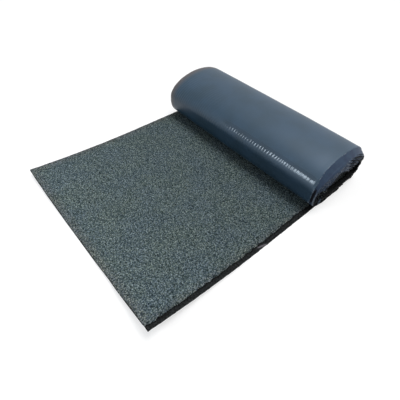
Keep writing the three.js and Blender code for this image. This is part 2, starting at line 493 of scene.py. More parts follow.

# %% [markdown]
# ## Loose film at the selvedge end
#
# The main film ends on the selvedge, a finger's width from the rim, and its edge has come unstuck. A second
# strip of film comes out from under it, to be pulled off when the sheets are joined. That strip is wider
# than the felt, so over the top and front of this end it folds in over the ends of the turns. Underneath,
# and round the back, only a few millimetres of it are left past the rim. Past the rim the film keeps its own
# finish for the distance in the table's third column. What lies deeper is drawn near black, for bitumen
# smear and painted shade.
#
# A cloth simulation would crumple the strip, but not fold it in the right places. So two tables say how the
# lip and the strip lie at places round the section, and the folds are worked out between them. The places
# are given in degrees round the roll: 0 at the back, 90 at the top, 180 at the front and 270 (or -90)
# underneath.

# %% Describe the loose film
FILM_THICKNESS = 0.3 * MM
EDGE, LIFT = 1, 2
LIP = np.array([
    # degrees, edge from the rim mm, lift mm
    (20, 22, 0.3),
    (80, 23, 0.4),
    (125, 24, 0.4),
    (142, 19, 0.6),
    (156, 14, 3.5),
    (173, 12, 6.5),
    (192, 12, 4.0),
    (212, 16, 0.3),
])
REACH, UNDARKENED, SLOPE, PLEAT, CURL = range(1, 6)
FOLD = np.array([
    # degrees, reach past the rim mm, undarkened for mm, slope degrees, pleat mm, curl turns
    (-66, 2, -30, 30, 1.0, 0.00),
    (-58, 5, -30, 35, 2.0, 0.00),
    (-46, 1, -30, 45, 1.0, 0.00),
    (-20, 1, -30, 45, 1.0, 0.00),
    (18, 6, 0, 70, 2.0, 0.00),
    (32, 34, 30, 88, 6.0, 0.00),
    (44, 52, 48, 88, 9.0, 0.00),
    (60, 70, 66, 84, 9.5, 0.00),
    (76, 78, 74, 76, 8.5, 0.00),
    (90, 64, 60, 64, 5.0, 0.00),
    (104, 52, 36, 54, 4.0, 0.00),
    (118, 66, 33, 52, 4.5, 0.00),
    (132, 68, 42, 56, 5.5, 0.00),
    (146, 62, 54, 70, 6.0, 0.00),
    (156, 56, 44, 86, 5.5, -0.05),
    (166, 50, 40, 90, 5.0, -0.20),
    (173, 46, 8, 90, 5.0, -0.30),
    (186, 42, 7, 90, 5.0, -0.40),
    (196, 38, 6, 90, 4.5, -0.40),
    (206, 32, 4, 90, 4.0, -0.35),
    (216, 20, 0, 80, 2.5, -0.15),
    (228, 9, -20, 52, 2.0, 0.00),
    (242, 6, -30, 42, 1.5, 0.00),
    (256, 8, -30, 42, 1.5, 0.00),
    (270, 6, -30, 42, 1.5, 0.00),
    (282, 1, -30, 42, 1.0, 0.00),
])


def from_table(table, degrees, column):
    return np.interp(degrees, table[:, 0], table[:, column])[:, None]


def turns_at(degrees):
    return degrees / 360 + QUARTER


print(len(FOLD), "places in the fold, reaching up to", FOLD[:, REACH].max(), "mm past the rim")

# %% [markdown]
# Both the lip and the strip are thin closed sheets, made of a front and a back. Real film is less than a
# tenth of a millimetre thick. This one is drawn 0.3 mm thick, so that its two sides don't show through each
# other. One value kept at the points says how pale the film is drawn. Part of it is real whitening, where
# the film is scuffed and worn, and along sharp creases. The rest is painted light: a highlight along the
# lip's raised edge, a sheen on the sharp creases, and light on the crests of the long folds. Where a second
# value is over a half, the face has the near-black finish that stands for bitumen smear and painted shade.

# %% Make a film from a grid of points
SMEAR_AND_SHADE_SLOT = 1


def both_sides(values):
    """Values for the front of a film, and again for its back, which runs the other way."""
    return np.concatenate([values, values[:, ::-1]], axis=1)


def film_sheet(name, front, normal, along, across, crease, materials, smear_and_shade=None):
    """A thin closed sheet from a grid of points and their outward normals."""
    rings = np.concatenate([front, (front - normal * FILM_THICKNESS)[:, ::-1]], axis=1)
    round_ring = np.concatenate([across, across[::-1]])
    finish = np.full(len(round_ring), FILM_SLOT)
    piece = sheet_mesh(name, rings, along, round_ring, finish, materials)
    keep_at_points(piece.data, "crease", both_sides(crease))
    # Faces marked here take the near-black finish, which stands for bitumen smear and painted shade.
    if smear_and_shade is not None:
        shaded_faces = both_sides(smear_and_shade)
        shaded_faces = (shaded_faces[:-1] + shaded_faces[1:] > 1).ravel()
        slots = np.where(shaded_faces, SMEAR_AND_SHADE_SLOT, FILM_SLOT).astype(np.int32)
        piece.data.polygons.foreach_set("material_index", np.append(slots, [FILM_SLOT, FILM_SLOT]))
    return piece


def normals(grid):
    """The outward unit normals of a grid of points."""
    across = np.cross(np.gradient(grid, axis=1), np.gradient(grid, axis=0))
    return across / np.linalg.norm(across, axis=-1, keepdims=True)


print("the film is drawn", round(FILM_THICKNESS / MM, 1), "mm thick")

# %% [markdown]
# The main film's lip follows the outer turn, ripples and all, and rises from it towards its edge. The edge
# is ragged, and along it a thin pale line is drawn in places, a painted highlight where the raised edge
# catches the light. Low on the roll's front it is scuffed white too. A film's UV map is the same for all of
# its rows, so one of them stands for the rest.

# %% Raise the lip of the main film
LIP_STATIONS = 330
LIP_POINTS = 26
LIP_MAP_ROW = 100
LIP_ROOT = 60 * MM
LIP_CLEARANCE = 0.05 * MM


def film_lip(materials):
    degrees = np.linspace(LIP[0, 0], LIP[-1, 0], LIP_STATIONS)
    turns = turns_at(degrees)
    arc = arc_length(np.linspace(0, turns[0], 400))[-1] + arc_length(turns)
    ragged = 0.8 * MM * line_waves(arc, 16 * MM, 41) + 0.4 * MM * line_waves(arc, 4 * MM, 42)
    edge = from_table(LIP, degrees, EDGE) * MM + ragged[:, None]
    y = LIP_ROOT + (edge - LIP_ROOT) * np.linspace(0, 1, LIP_POINTS)[None, :]
    from_edge = y - edge
    lift = from_table(LIP, degrees, LIFT) * MM * bell(from_edge, 7 * MM)
    risen = 0.9 * MM * smooth_step(1 - (from_edge - 6 * MM) / (20 * MM)) + lift
    taper = np.clip(np.minimum(degrees - degrees[0], degrees[-1] - degrees) / 8, 0.05, 1)[:, None]
    ripples = film_ripples(turns[:, None] + 0 * y, arc[:, None] + 0 * y, y)
    front = wound_points(turns, y, -(ripples + risen * taper + LIP_CLEARANCE))
    # Painted highlight: a thin pale line along the lip's raised edge, broken in places.
    torn_edge_and_highlight = np.clip(0.5 + line_waves(arc, 40 * MM, 43), 0, 1)[:, None] * bell(from_edge, 0.8 * MM)
    scuffed = 0.9 * bell(from_edge - 2 * MM, 4 * MM) * bell(degrees[:, None] - 204, 12)
    crease = np.maximum(torn_edge_and_highlight, scuffed)
    return film_sheet("film_lip", front, normals(front), arc, y[LIP_MAP_ROW], crease, materials)


print("the lip lifts by up to", LIP[:, LIFT].max(), "mm")

# %% [markdown]
# The strip starts under that lip. Each row of it is a line in its own plane, and its heading turns as it
# goes: out along the roll, down over the rim at the table's slope, and then tucked in. At the front the
# row's last part curls back on itself. Adding up short steps along the heading gives the line, so a row
# keeps its length however it bends, as real film does.

# %% Trace the strip's rows
ROW_POINTS = 80
UNDER_LIP = 5 * MM
RIM_BEND = 5 * MM


def fold_lines(degrees, arc):
    """For each row of the strip: distance past the rim, place along the roll, and depth inwards."""
    reach, slope, curl = (from_table(FOLD, degrees, column) for column in (REACH, SLOPE, CURL))
    ragged = 3.5 * line_waves(arc, 17 * MM, 34) + 1.5 * line_waves(arc, 5 * MM, 35)
    reach = (reach + ragged[:, None]) * MM
    start = from_table(LIP, degrees, EDGE) * MM + UNDER_LIP
    along = np.linspace(0, 1, ROW_POINTS)[None, :] * (start + reach)
    past_rim = along - start
    tucked = smooth_step((past_rim - 12 * MM) / (9 * MM)) * (90 - slope) * 1.1
    curled = 360 * curl * smooth_step((past_rim - reach + 20 * MM) / (20 * MM)) ** 1.5
    bent = slope * smooth_step((past_rim + 0.5 * MM) / RIM_BEND)
    heading = np.radians(bent + tucked + curled)
    step = np.diff(along, axis=1)
    middle = (heading[:, 1:] + heading[:, :-1]) / 2
    run = np.concatenate([0 * start, np.cumsum(np.cos(middle) * step, axis=1)], axis=1)
    depth = np.concatenate([0 * start, np.cumsum(np.sin(middle) * step, axis=1)], axis=1)
    return past_rim, start - run, depth - 0.5 * MM


def over_end(turns, y, depth):
    """Points beside the roll's end, from their place along the roll and their depth from its outer face."""
    x, z = oval_point(angle_at(turns[:, None]) + 0 * depth, turns[:, None] * PITCH + depth)
    x, z = settle(x, z, y)
    slide = TELESCOPE * (turns[:, None] + np.clip(depth / PITCH, 0, TURNS)) / TURNS
    return np.stack([ROLL_MIDDLE + x, NEAR_EDGE + y - slide, z], axis=-1)


print("a row of the strip has", ROW_POINTS, "points")

# %% [markdown]
# Where the strip folds in, it has to fit a smaller oval than it was cut for, and the spare film is gathered
# in two ways. Over the top and round the back it has slid down the end in parallel folds, 15 mm apart, that
# fall towards the back of the roll. Round the front it is crumpled into short pleats that point at the
# middle of the roll, crossed by slanting creases. These are ridged noise: one less the size of a smooth
# wave, which makes sharp crests between wide hollows. They also lean over, as cloth does when it is pushed
# together.

# %% Pleat the strip
FAN_GAP = 15 * MM
FAN_SLOPE = math.radians(28)
FAN_END = 98
FAN_FADE = 16


def ridges(u, v, seed, sharpness):
    return (1 - np.abs(waves(u, v, seed))) ** sharpness


def pleats(arc, depth, downhill, fanned):
    """Height of the pleats from 0 to 1, and how pale their crests are drawn. Fanned is 1 for long folds."""
    drift = 0.5 * waves(arc / (24 * MM), depth / (25 * MM), 31)
    strayed = 0.5 * waves(arc / (45 * MM), depth / (60 * MM), 30)
    fan = (1 - np.abs(np.sin(np.pi * (downhill / FAN_GAP + strayed)))) ** 1.2
    radial = ridges(arc / (5 * MM) + 2 * drift, depth / (22 * MM), 32, 2)
    slanting = ridges((arc + 0.9 * depth) / (6 * MM), (depth - 0.4 * arc) / (16 * MM), 33, 2)
    fine = ridges(arc / (3 * MM), depth / (3.5 * MM), 36, 2)
    crumpled = 0.5 * radial + 0.35 * slanting + 0.15 * fine
    # Painted light: the crests of the long folds are drawn pale, as if lit. The crumples' sharp creases are
    # whitened, with a painted sheen.
    fan_crest_light = np.clip(fan * 5 - 2.2, 0, 2.4)
    crumple_whitening_and_sheen = np.clip(np.maximum(radial, slanting) * 4 - 3, 0, 1)
    height = fan * fanned + crumpled * (1 - fanned)
    return height, fan_crest_light * fanned + crumple_whitening_and_sheen * (1 - fanned)


def gathered(front, normal, arc, past_rim, degrees):
    """The strip's points moved into its folds, with the folds' height, growth, kind and pale crests there.
    """
    slope, size = from_table(FOLD, degrees, SLOPE), from_table(FOLD, degrees, PLEAT) * MM
    smooth_reach = (12 * (90 - slope) / 38 - 4) * MM
    grown = smooth_step((past_rim - smooth_reach) / (12 * MM))
    fanned = smooth_step((FAN_END - degrees[:, None]) / FAN_FADE)
    downhill = math.sin(FAN_SLOPE) * front[..., 0] + math.cos(FAN_SLOPE) * front[..., 2]
    height, crest_light_and_whitening = pleats(arc + 0 * past_rim, past_rim, downhill, fanned)
    lean = 0.4 * size * grown * (1 - fanned) * waves(arc / (7 * MM), past_rim / (30 * MM), 37)
    sideways = np.gradient(front, axis=0)
    sideways /= np.linalg.norm(sideways, axis=-1, keepdims=True)
    outwards = size * (height - 0.4 * fanned) * grown
    moved = front + normal * outwards[..., None] + sideways * lean[..., None]
    return moved, height, grown, fanned, crest_light_and_whitening * grown


print("the folds stand up to", FOLD[:, PLEAT].max(), "mm high")

# %% [markdown]
# Deep inside the end the strip is drawn near black, for bitumen smear and painted shade. In the bottoms of
# its deepest folds, and in the crevice under the lip, the near black is painted shade. Low on the front it
# is worn pale where it bends over the rim, and so is the hem below.

# %% Fold the film over the end
STRIP_STATIONS = ((28, 80), (205, 431), (FOLD[-1, 0], 81))
STRIP_MAP_ROW = 200


def strip_marks(arc, past_rim, degrees, height, grown, fanned):
    """How far the strip is drawn near black, for smear and painted shade, and how worn it is, at each point.
    """
    place = degrees[:, None]
    # Deeper than this the strip is drawn near black: bitumen smear and painted shade together.
    undarkened = from_table(FOLD, degrees, UNDARKENED) * MM + 3 * MM * waves(arc / (8 * MM), past_rim / (8 * MM), 38)
    # Painted shade: the crevice under the lip.
    crevice_shade = 0.95 * bell(past_rim + 7 * MM, 6 * MM) * bell(place - 180, 20)
    to_end = from_table(FOLD, degrees, REACH) * MM - past_rim
    hem = bell(to_end - 5 * MM, 4 * MM) * bell(place - 200, 16)
    smear_and_shade = np.maximum(smooth_step((past_rim - undarkened) / (5 * MM)), crevice_shade) * (1 - hem)
    # Painted shade: the bottoms of the folds.
    deep = smooth_step((0.2 + 0.12 * fanned - height) / 0.2)
    fold_shade = 0.75 * grown * deep * smooth_step((past_rim - 2 * MM) / (6 * MM))
    over_rim = 1.4 * bell(past_rim - 3 * MM, 4 * MM) * bell(place - 192, 18)
    return np.maximum(smear_and_shade, fold_shade), np.maximum(over_rim, hem)


def film_strip(materials):
    degrees = FOLD[:1, 0]
    for last, count in STRIP_STATIONS:
        degrees = np.concatenate([degrees, np.linspace(degrees[-1], last, count)[1:]])
    turns = turns_at(degrees)
    arc = arc_length(turns)
    past_rim, y, depth = fold_lines(degrees, arc)
    front = over_end(turns, y, depth)
    normal = normals(front)
    arc_column = arc[:, None]
    front, height, grown, fanned, crest_light_and_whitening = gathered(front, normal, arc_column, past_rim, degrees)
    smear_and_shade, worn = strip_marks(arc_column, past_rim, degrees, height, grown, fanned)
    across, crease = -past_rim[STRIP_MAP_ROW], np.maximum(crest_light_and_whitening, worn)
    return film_sheet("film_strip", front, normal, arc, across, crease, materials, smear_and_shade)


print("the strip has", 1 + sum(count - 1 for _, count in STRIP_STATIONS), "rows")

# %% [markdown]
# ## Finishes
#
# Each finish is built from nodes, so it needs no image and holds at any distance. One function adds a node,
# with its settings and its links. Colours are written as sRGB hex, as a colour picker shows them, and one
# function turns them to the linear values that the renderer works in. Every pattern is placed by the
# sheet's own UV map, in millimetres, so it winds up with the sheet.

# %% Make nodes and colours
def linear(hex_colour):
    channels = [int(hex_colour[i : i + 2], 16) / 255 for i in (1, 3, 5)]
    return (*(c / 12.92 if c <= 0.04045 else ((c + 0.055) / 1.055) ** 2.4 for c in channels), 1.0)


def add(tree, kind, inputs=None, stops=None, **settings):
    """Adds a node. Inputs are values or sockets to link, and stops are a ramp's (place, colour) pairs."""
    node = tree.nodes.new(kind)
    for name, value in settings.items():
        setattr(node, name, value)
    for name, value in (inputs or {}).items():
        if isinstance(value, bpy.types.NodeSocket):
            tree.links.new(value, node.inputs[name])
        else:
            node.inputs[name].default_value = value
    for i, (place, colour) in enumerate(stops or []):
        element = node.color_ramp.elements[i] if i < 2 else node.color_ramp.elements.new(place)
        element.position = place
        element.color = linear(colour)
    return node


def finish_tree(name):
    material = bpy.data.materials.new(name)
    material.use_nodes = True
    material.node_tree.nodes.clear()
    return material, material.node_tree


def sheet_millimetres(tree):
    """The place on the flat sheet in millimetres, and its two parts: along and across the sheet."""
    uv = add(tree, "ShaderNodeUVMap", uv_map="sheet")
    place = add(tree, "ShaderNodeVectorMath", {0: uv.outputs["UV"], 1: (1 / MM, 1 / MM, 0)},
                operation="MULTIPLY")
    split = add(tree, "ShaderNodeSeparateXYZ", {0: place.outputs[0]})
    return place.outputs[0], split.outputs["X"], split.outputs["Y"]


print("a mid grey, #808080, is", round(linear("#808080")[0], 3), "in linear values")

# %% [markdown]
# ### Crushed slate on bitumen
#
# The weather face is crushed slate, 0.5 to 1.5 mm across, pressed into hot bitumen. Slate splits into flat
# flakes that face every way, so each grain has its own grey, and bluish and greenish flakes lie mixed. A
# Voronoi texture gives each grain one value, as a noise texture can't. Grains that fine would blur to one
# flat grey from two metres away, so more than half of the pattern is drawn at 3.4 mm, as coarse as it needs
# to be to show, and gathered in heaps 7 mm apart, with dark pores between them. The slate is also drawn a
# little paler towards the free end and darker towards the roll. This is painted light and shade, for light
# that falls off towards the roll.

# %% Slate
SLATE_GRAIN_MM = 1.3
SLATE_CLUMP_MM = 3.4
SLATE_PORE_MM = 7.0
SLATE_MOTTLE_MM = 160
FINE_SHARE = 0.44
BLUISH = [(0.1, "#080c11"), (0.92, "#a3b3c1"), (0.36, "#2d3b47"), (0.64, "#495a69")]
GREENISH = [(0.1, "#0b0e0c"), (0.92, "#adb9ae"), (0.36, "#343f3a"), (0.64, "#505e58")]
TAIL_MM = TAIL_LENGTH / MM


def slate_grains(tree, place, along):
    """The slate's colour, and how far each spot is from the middle of its grain and of its clump."""
    clump = add(tree, "ShaderNodeTexVoronoi", {"Vector": place, "Scale": 1 / SLATE_CLUMP_MM},
                voronoi_dimensions="2D")
    grain = add(tree, "ShaderNodeTexVoronoi", {"Vector": place, "Scale": 1 / SLATE_GRAIN_MM},
                voronoi_dimensions="2D")
    both = add(tree, "ShaderNodeMix", {0: FINE_SHARE, 6: clump.outputs["Color"], 7: grain.outputs["Color"]},
               data_type="RGBA")
    pores = add(tree, "ShaderNodeTexVoronoi", {"Vector": place, "Scale": 1 / SLATE_PORE_MM},
                voronoi_dimensions="2D")
    depth = add(tree, "ShaderNodeMapRange", {
        0: pores.outputs["Distance"], 1: 0.0, 2: 0.9, 3: 0.14, 4: -0.2})
    sunk = add(tree, "ShaderNodeVectorMath", {0: both.outputs[2], 1: depth.outputs[0]}, operation="ADD")
    tone = add(tree, "ShaderNodeSeparateColor", {0: sunk.outputs[0]})
    bluish = add(tree, "ShaderNodeValToRGB", {0: tone.outputs[0]}, stops=BLUISH)
    greenish = add(tree, "ShaderNodeValToRGB", {0: tone.outputs[1]}, stops=GREENISH)
    mottle = add(tree, "ShaderNodeTexNoise", {"Vector": place, "Scale": 1 / SLATE_MOTTLE_MM, "Detail": 3.0},
                 noise_dimensions="2D")
    mixed = add(tree, "ShaderNodeMath", {0: tone.outputs[2], 1: 0.3, 2: mottle.outputs[0]},
                operation="MULTIPLY_ADD")
    hue = add(tree, "ShaderNodeMapRange", {0: mixed.outputs[0], 1: 0.45, 2: 0.85, 3: 0.28, 4: 0.57})
    grains = add(tree, "ShaderNodeMix", {0: hue.outputs[0], 6: greenish.outputs[0], 7: bluish.outputs[0]},
                 data_type="RGBA")
    # Painted light and shade: the slate's colour is scaled paler towards the free end and darker towards the
    # roll.
    paleness = add(tree, "ShaderNodeMapRange", {0: along, 1: -TAIL_MM, 2: -TAIL_MM / 3, 3: 1.11, 4: 0.94})
    slate = add(tree, "ShaderNodeVectorMath", {0: grains.outputs[2], "Scale": paleness.outputs[0]},
                operation="SCALE")
    flakes = add(tree, "ShaderNodeMath", {0: grain.outputs["Distance"], 1: clump.outputs["Distance"]},
                 operation="ADD")
    return slate.outputs[0], flakes.outputs[0]


print("a clump covers", round(SLATE_CLUMP_MM / SLATE_GRAIN_MM, 1), "grains side by side")

# %% [markdown]
# The slate's boundary along the selvedge is ragged. It strays by a few millimetres over every 4 mm, and
# more gently over every 30 mm. Along the sheet's cut edges the slate is worn off over a few millimetres.
# Within 45 mm of them, and of the selvedge within 30 mm, rubbed-off dust turns it from blue-grey to a plain
# grey. Wear like this could be painted by hand, but the distances to the edges are in the UV map already,
# so a few sums place it.

# %% Where the slate lies
SLATE_EDGE_MM = (SELVEDGE_WIDTH - SLATE_SPILL) / MM
RAGGED_MM = 4.0
BAY_MM = 30
RUBBED_MM = (5.0, 45.0)
LESS_BY_SELVEDGE_MM = 15
EDGE_BLUR_MM = 0.6
DRAB = (1.13, 0.97, 0.93)


def stray_across(tree, place, along, across):
    """The raggedness alone, and the place across the sheet with all of the straying, both in mm."""
    ragged = add(tree, "ShaderNodeTexNoise", {"Vector": place, "Scale": 1 / RAGGED_MM, "Detail": 3.0},
                 noise_dimensions="2D")
    shift = add(tree, "ShaderNodeMapRange", {0: ragged.outputs[0], 3: -5.0, 4: 5.0})
    wander = add(tree, "ShaderNodeTexNoise", {"Vector": place, "Scale": 1 / BAY_MM, "Detail": 1.0},
                 noise_dimensions="2D")
    bay = add(tree, "ShaderNodeMapRange", {0: wander.outputs[0], 3: -7.0, 4: 7.0})
    spilt = add(tree, "ShaderNodeMapRange", {0: along, 1: -TAIL_MM, 2: -TAIL_MM / 4, 3: 0.3, 4: -0.3})
    from_strip = add(tree, "ShaderNodeMath", {0: across, 1: shift.outputs[0]}, operation="ADD")
    from_bay = add(tree, "ShaderNodeMath", {0: from_strip.outputs[0], 1: bay.outputs[0]}, operation="ADD")
    strayed = add(tree, "ShaderNodeMath", {0: from_bay.outputs[0], 1: spilt.outputs[0]}, operation="ADD")
    return shift.outputs[0], strayed.outputs[0]


def distance_to_edge(tree, along, across):
    """How far the far edge or the free end is, whichever is nearer, in mm."""
    to_far = add(tree, "ShaderNodeMath", {0: SHEET_WIDTH / MM, 1: across}, operation="SUBTRACT")
    to_end = add(tree, "ShaderNodeMath", {0: along, 1: TAIL_MM}, operation="ADD")
    nearer = add(tree, "ShaderNodeMath", {0: to_far.outputs[0], 1: to_end.outputs[0]}, operation="MINIMUM")
    return nearer.outputs[0]


def slate_cover(tree, shift, strayed, to_edge):
    """One where slate covers the bitumen, and nothing on the selvedge and at worn edges."""
    slated = add(tree, "ShaderNodeMapRange", {
        0: strayed, 1: SLATE_EDGE_MM - EDGE_BLUR_MM, 2: SLATE_EDGE_MM + EDGE_BLUR_MM})
    worn = add(tree, "ShaderNodeMath", {0: to_edge, 1: shift}, operation="ADD")
    unworn = add(tree, "ShaderNodeMapRange", {0: worn.outputs[0], 1: 0.5, 2: 4.0})
    cover = add(tree, "ShaderNodeMath", {0: slated.outputs[0], 1: unworn.outputs[0]}, operation="MULTIPLY")
    return cover.outputs[0]


def rubbed_slate(tree, slate, strayed, to_edge):
    """The slate's colour, turned to a plain grey towards the edges of the sheet."""
    from_selvedge = add(tree, "ShaderNodeMath", {0: strayed, 1: SLATE_EDGE_MM - LESS_BY_SELVEDGE_MM},
                        operation="SUBTRACT")
    to_rim = add(tree, "ShaderNodeMath", {0: to_edge, 1: from_selvedge.outputs[0]}, operation="MINIMUM")
    rubbed = add(tree, "ShaderNodeMapRange", {
        0: to_rim.outputs[0], 1: RUBBED_MM[0], 2: RUBBED_MM[1], 3: 1.0, 4: 0.0})
    drab = add(tree, "ShaderNodeVectorMath", {0: slate, 1: DRAB}, operation="MULTIPLY")
    rim_slate = add(tree, "ShaderNodeMix", {0: rubbed.outputs[0], 6: slate, 7: drab.outputs[0]},
                    data_type="RGBA")
    return rim_slate.outputs[2]


print("the slate begins", round(SLATE_EDGE_MM, 1), "mm from the selvedge's rim, on average")

# %% [markdown]
# The selvedge is bare oxidised bitumen, nearly black and dull, with lumps about 7 mm across. Just beside the
# slate it is drawn darker still, a painted shadow of the slate's raised edge. About halfway along, a torn
# scrap of film is stuck to it. The scrap is far too thin for a mesh to show, so it is only drawn, as a
# stretched and turned circle with ragged edges.

# %% Bare bitumen
LUMP_MM = 7.0
SLATE_SHADOW_MM = (9, 2)
SCRAP_MIDDLE_MM = (-487, 8, 0)
SCRAP_REACH_MM = (24, 4, 1)
SCRAP_TURN = math.radians(14)


def film_scrap(tree, place, raggedness):
    """One on a torn scrap of film that is stuck to the selvedge, and nothing beside it."""
    turned = add(tree, "ShaderNodeVectorRotate", {
        "Vector": place, "Center": SCRAP_MIDDLE_MM, "Angle": SCRAP_TURN}, rotation_type="Z_AXIS")
    from_middle = add(tree, "ShaderNodeVectorMath", {0: turned.outputs[0], 1: SCRAP_MIDDLE_MM},
                      operation="SUBTRACT")
    shrunk = add(tree, "ShaderNodeVectorMath", {0: from_middle.outputs[0], 1: SCRAP_REACH_MM},
                 operation="DIVIDE")
    far = add(tree, "ShaderNodeVectorMath", {0: shrunk.outputs[0]}, operation="LENGTH")
    torn_edge_and_highlight = add(tree, "ShaderNodeMath", {0: far.outputs["Value"], 1: raggedness}, operation="ADD")
    return add(tree, "ShaderNodeMapRange", {0: torn_edge_and_highlight.outputs[0], 1: 1.6, 2: 1.3}).outputs[0]


def bare_bitumen(tree, place, strayed):
    """The bitumen's colour, with a painted shadow beside the slate, and the height of its lumps."""
    lumps = add(tree, "ShaderNodeTexNoise", {"Vector": place, "Scale": 1 / LUMP_MM, "Detail": 5.0},
                noise_dimensions="2D")
    weathered = add(tree, "ShaderNodeValToRGB", {0: lumps.outputs[0]}, stops=[
        (0.35, "#121313"), (0.7, "#2f3132")])
    # Painted shadow: the bitumen turns near black over the last millimetres before the slate.
    slate_shadow = add(tree, "ShaderNodeMapRange", {
        0: strayed, 1: SLATE_EDGE_MM - SLATE_SHADOW_MM[0], 2: SLATE_EDGE_MM - SLATE_SHADOW_MM[1]})
    shaded = add(tree, "ShaderNodeMix", {
        0: slate_shadow.outputs[0], 6: weathered.outputs[0], 7: linear("#08090a")}, data_type="RGBA")
    scrap = film_scrap(tree, place, lumps.outputs[0])
    bitumen = add(tree, "ShaderNodeMix", {0: scrap, 6: shaded.outputs[2], 7: linear("#625f64")},
                  data_type="RGBA")
    return bitumen.outputs[2], lumps.outputs[0]


print("the scrap of film is about", 2 * SCRAP_REACH_MM[0], "by", 2 * SCRAP_REACH_MM[1], "mm")

# %% [markdown]
# The weather face puts the slate over the bitumen. Slate and bitumen both have an index of refraction near
# the default of 1.5, but such a rough face scatters nearly all of the light, so its specular level is
# turned down until hardly any gloss is left. The bump texture raises the flakes and lumps that are finer
# than the mesh.

# %% Weather face
def weather_finish():
    material, tree = finish_tree("crushed_slate_on_bitumen")
    place, along, across = sheet_millimetres(tree)
    slate, flakes = slate_grains(tree, place, along)
    shift, strayed = stray_across(tree, place, along, across)
    to_edge = distance_to_edge(tree, along, across)
    cover = slate_cover(tree, shift, strayed, to_edge)
    bitumen, lumps = bare_bitumen(tree, place, strayed)
    face = add(tree, "ShaderNodeMix", {
        0: cover, 6: bitumen, 7: rubbed_slate(tree, slate, strayed, to_edge)}, data_type="RGBA")
    relief = add(tree, "ShaderNodeMix", {0: cover, 2: lumps, 3: flakes})
    bump = add(tree, "ShaderNodeBump", {"Height": relief.outputs[0], "Distance": 0.5 * MM, "Strength": 0.7},
               invert=True)
    shader = add(tree, "ShaderNodeBsdfPrincipled", {
        "Base Color": face.outputs[2], "Roughness": 0.75, "Specular IOR Level": 0.05,
        "Normal": bump.outputs[0]})
    add(tree, "ShaderNodeOutputMaterial", {0: shader.outputs[0]})
    print(f"{material.name}: {len(tree.nodes)} nodes")
    return material


crushed_slate = weather_finish()

# %% [markdown]
# ### Cut bitumen
#
# A blade drags the warm bitumen over the cut, so the edges are black and dull, with short pulled strings
# 2.5 mm apart. The fleece is a thin greyish line a little below the middle of the thickness, and the slate
# is a paler one along the top, so each turn can be told apart on the roll's ends. Separate strips of mesh
# could show these layers, but they are thinner than a millimetre, so a colour ramp places both by the value
# called through. Along the selvedge's own edge, which has no slate, both are faint.

# %% Cut edges
STRING_MM = 2.5


def cut_finish():
    material, tree = finish_tree("cut_bitumen")
    place, _, across = sheet_millimetres(tree)
    pulled = add(tree, "ShaderNodeTexNoise", {"Vector": place, "Scale": 1 / STRING_MM, "Detail": 5.0},
                 noise_dimensions="2D")
    dragged = add(tree, "ShaderNodeValToRGB", {0: pulled.outputs[0]}, stops=[
        (0.35, "#050505"), (0.7, "#1b1a1a")])
    through = add(tree, "ShaderNodeAttribute", attribute_name="through")
    layers = add(tree, "ShaderNodeValToRGB", {0: through.outputs["Fac"]}, stops=[
        (0.3, "#000000"), (0.92, "#5b6b72"), (0.38, "#4d4a45"), (0.46, "#000000"), (0.72, "#000000")])
    faced = add(tree, "ShaderNodeMapRange", {0: across, 1: 0.0, 2: SELVEDGE_WIDTH / MM, 3: 0.15, 4: 0.8})
    kept = add(tree, "ShaderNodeMath", {0: pulled.outputs[0], 1: faced.outputs[0]}, operation="MULTIPLY")
    shown = add(tree, "ShaderNodeVectorMath", {0: layers.outputs[0], "Scale": kept.outputs[0]},
                operation="SCALE")
    shade = add(tree, "ShaderNodeVectorMath", {0: dragged.outputs[0], 1: shown.outputs[0]}, operation="ADD")
    bump = add(tree, "ShaderNodeBump", {"Height": pulled.outputs[0], "Distance": 0.6 * MM})
    shader = add(tree, "ShaderNodeBsdfPrincipled", {
        "Base Color": shade.outputs[0], "Roughness": 0.7, "Specular IOR Level": 0.1,
        "Normal": bump.outputs[0]})
    add(tree, "ShaderNodeOutputMaterial", {0: shader.outputs[0]})
    print(f"{material.name}: {len(tree.nodes)} nodes")
    return material


cut_bitumen = cut_finish()

# %% [markdown]
# ### Polyethylene film
#
# The film is thin blown polyethylene, stuck to black bitumen while it was hot. The bitumen shows through it
# as a deep slate blue. A see-through material over a black one could show this, but the film is stuck down
# all over, so one opaque colour does the same at less cost. Towards the selvedge end it is drawn a little
# paler, which is painted light. Between 45 and 10 mm from the sheet's far edge the film gives out, and
# leaves a brownish grey rim of bitumen. The loose strip has nothing stuck behind it. It is a little paler
# and more violet, but it hardly shines, so it looks darker. Along the sharp creases of its crumples it is
# drawn pale: the whitening of folded film, together with a painted sheen. Along the crests of its long
# folds the paleness is painted light.

# %% Colour of the film
FRAY_MM = 9
PAINTED_LIGHT_REACH_MM = 800.0
BARE_RIM_MM = (45, 10)


